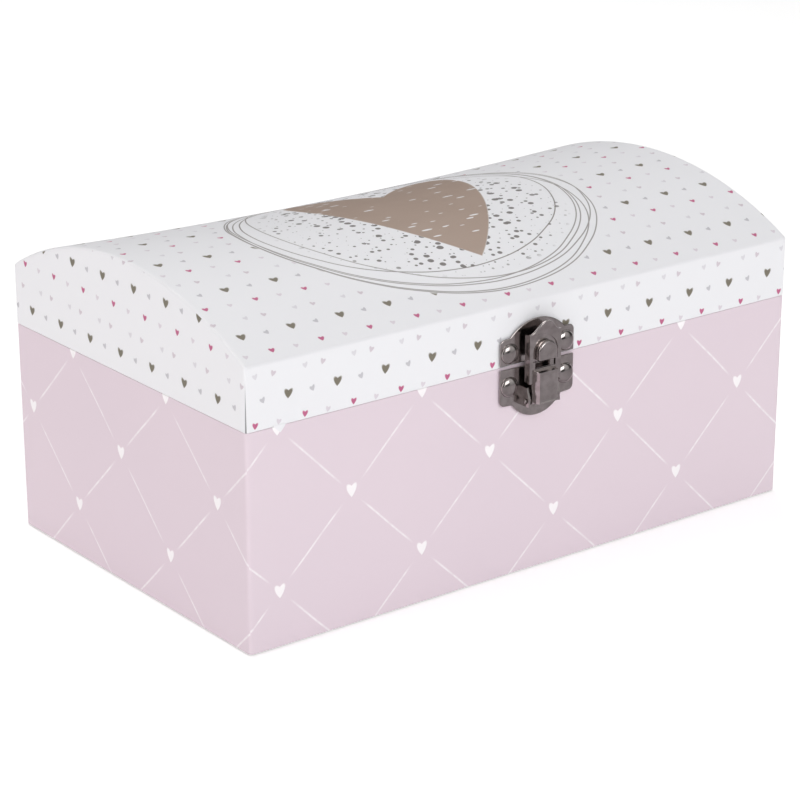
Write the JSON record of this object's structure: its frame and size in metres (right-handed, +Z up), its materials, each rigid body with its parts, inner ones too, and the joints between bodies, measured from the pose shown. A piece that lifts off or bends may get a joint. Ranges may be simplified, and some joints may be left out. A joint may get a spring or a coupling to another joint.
{
  "type": "wind-up music box",
  "caption": "Paper-covered chest with a domed hinged lid, a sprung metal hasp, lined compartments, and a key-wound comb movement that turns a small dancer.",
  "frame": {"origin": "centre of the flat underside", "axes": "+X along the length to the user's right, +Y from the latched front to the hinged back, +Z up"},
  "size_m": [0.19, 0.139, 0.0935],
  "materials": {
    "greyboard": "raw greyboard edge, matt",
    "base_paper": "pink printed paper with a white lattice of fine lines and small hearts, satin",
    "lid_paper": "white printed paper with tiny hearts and one large tan heart, satin",
    "lining_paper": "plain lining paper, matt",
    "velvet": "short pile velour over foam",
    "mirror_glass": "silvered glass, polished",
    "nickel": "bright nickel plate on pressed steel",
    "cast_zinc": "die-cast zinc, satin",
    "brass": "turned brass, satin",
    "spring_steel": "hardened steel, ground",
    "moulded_plastic": "moulded off-white plastic",
    "doll_plastic": "painted plastic",
    "tulle": "stiff net"
  },
  "bodies": {
    "base": {"base_bottom_board": "greyboard", "base_front_board": "greyboard", "base_back_board": "greyboard", "base_left_board": "greyboard", "base_right_board": "greyboard", "base_wrap": "base_paper", "movement_cover": "lining_paper", "compartment_divider": "lining_paper", "ring_cushion": "velvet", "hinge_left_base_leaf": "nickel", "hinge_left_pin": "nickel", "hinge_right_base_leaf": "nickel", "hinge_right_pin": "nickel", "hinge_left_base_nail_1": "nickel", "hinge_left_base_nail_2": "nickel", "hinge_right_base_nail_1": "nickel", "hinge_right_base_nail_2": "nickel", "latch_base_plate": "nickel", "latch_pin": "nickel", "latch_base_nail_left": "nickel", "latch_base_nail_right": "nickel", "bedplate_screw_left": "nickel", "bedplate_screw_right": "nickel", "comb_screw": "nickel", "bedplate": "cast_zinc", "comb": "spring_steel", "governor_frame": "moulded_plastic"},
    "lid": {"lid_front_board": "greyboard", "lid_back_board": "greyboard", "lid_left_end_board": "greyboard", "lid_right_end_board": "greyboard", "lid_dome_board": "greyboard", "lid_wrap": "lid_paper", "lid_liner_board": "lining_paper", "lid_mirror": "mirror_glass", "latch_lid_plate": "nickel", "latch_lid_nail_left": "nickel", "latch_lid_nail_right": "nickel", "hinge_left_lid_leaf": "nickel", "hinge_left_lid_nail_1": "nickel", "hinge_left_lid_nail_2": "nickel", "hinge_right_lid_leaf": "nickel", "hinge_right_lid_nail_1": "nickel", "hinge_right_lid_nail_2": "nickel"},
    "latch_flap": {"latch_flap": "nickel"},
    "winder": {"winding_arbor": "nickel", "winding_key": "nickel"},
    "click": {"click": "spring_steel"},
    "barrel": {"spring_barrel": "brass", "mainspring": "spring_steel", "crown_wheel": "brass"},
    "cylinder": {"cylinder": "brass", "cylinder_arbor": "brass"},
    "governor_wheel": {"governor_wheel": "brass"},
    "fly": {"fly": "brass"},
    "dancer": {"dancer_spindle": "spring_steel", "dancer_figure": "doll_plastic", "dancer_skirt": "tulle"},
    "stop_rod": {"stop_rod": "spring_steel"}
  },
  "joints": [
    {"name": "lid_hinge", "type": "hinge", "parent": "base", "child": "lid", "pos_m": [0, 0.059, 0.061], "axis": [-1, 0, 0], "range_deg": [0, 100]},
    {"name": "latch_swing", "type": "hinge", "parent": "base", "child": "latch_flap", "pos_m": [0, -0.0599, 0.051], "axis": [1, 0, 0], "range_deg": [-3.2, 100]},
    {"name": "winding_key_turn", "type": "hinge", "parent": "base", "child": "winder", "pos_m": [0.038, 0.058, 0.016], "axis": [0, -1, 0], "continuous": true},
    {"name": "click_lift", "type": "hinge", "parent": "base", "child": "click", "pos_m": [0.04305, 0.0518, 0.02557], "axis": [0, 1, 0], "range_deg": [-5, 4], "stiffness_Nm_per_rad": 0.002},
    {"name": "barrel_turn", "type": "hinge", "parent": "base", "child": "barrel", "pos_m": [0.038, 0.0433, 0.016], "axis": [0, 1, 0], "continuous": true},
    {"name": "cylinder_turn", "type": "hinge", "parent": "base", "child": "cylinder", "pos_m": [0.063, 0.0336, 0.016], "axis": [1, 0, 0], "continuous": true},
    {"name": "dancer_turn", "type": "hinge", "parent": "base", "child": "dancer", "pos_m": [0.038, 0.03268, 0.034], "axis": [0, 0, 1], "continuous": true},
    {"name": "governor_wheel_turn", "type": "hinge", "parent": "base", "child": "governor_wheel", "pos_m": [0.0806, 0.0336, 0.026], "axis": [1, 0, 0], "continuous": true},
    {"name": "fly_turn", "type": "hinge", "parent": "base", "child": "fly", "pos_m": [0.0806, 0.0272, 0.02], "axis": [0, 0, 1], "continuous": true},
    {"name": "stop_rod_lift", "type": "slide", "parent": "base", "child": "stop_rod", "axis": [0, 0, 1], "range_m": [0, 0.003]}
  ],
  "couplings": [
    {"joint": "cylinder_turn", "follows": "barrel_turn", "ratio": -4},
    {"joint": "dancer_turn", "follows": "barrel_turn", "ratio": -3},
    {"joint": "governor_wheel_turn", "follows": "barrel_turn", "ratio": 16},
    {"joint": "fly_turn", "follows": "barrel_turn", "ratio": 192},
    {"joint": "stop_rod_lift", "follows": "lid_hinge", "m_per_rad": 0.0017}
  ]
}
